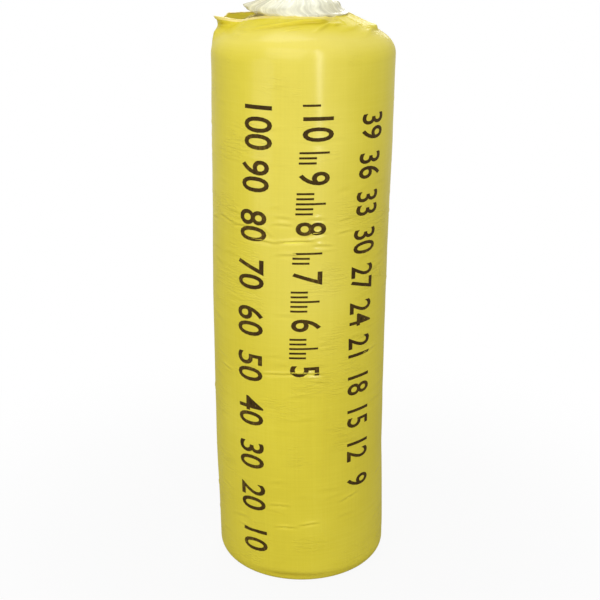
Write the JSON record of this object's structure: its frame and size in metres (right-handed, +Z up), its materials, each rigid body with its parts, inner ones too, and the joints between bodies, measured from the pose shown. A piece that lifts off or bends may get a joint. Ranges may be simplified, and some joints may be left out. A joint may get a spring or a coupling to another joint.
{
  "type": "insulation roll",
  "caption": "Tightly rolled glass wool blanket standing on end, in a clear film bag with gathered ends and a yellow woven sleeve turned in at the top and base.",
  "frame": {"origin": "on the floor, on the roll's axis", "axes": "+Z up along the roll's axis, -Y towards the printed front, -X towards the sleeve's standing collar"},
  "size_m": [0.3662, 0.3662, 1.2642],
  "materials": {
    "glass_wool": "matt fibre",
    "clear_film": "clear, creased and glossy",
    "woven_sleeve": "satin woven tape"
  },
  "bodies": {
    "root": {"glass_wool_roll": "glass_wool", "film_wrap": "clear_film", "woven_sleeve": "woven_sleeve"}
  },
  "joints": []
}
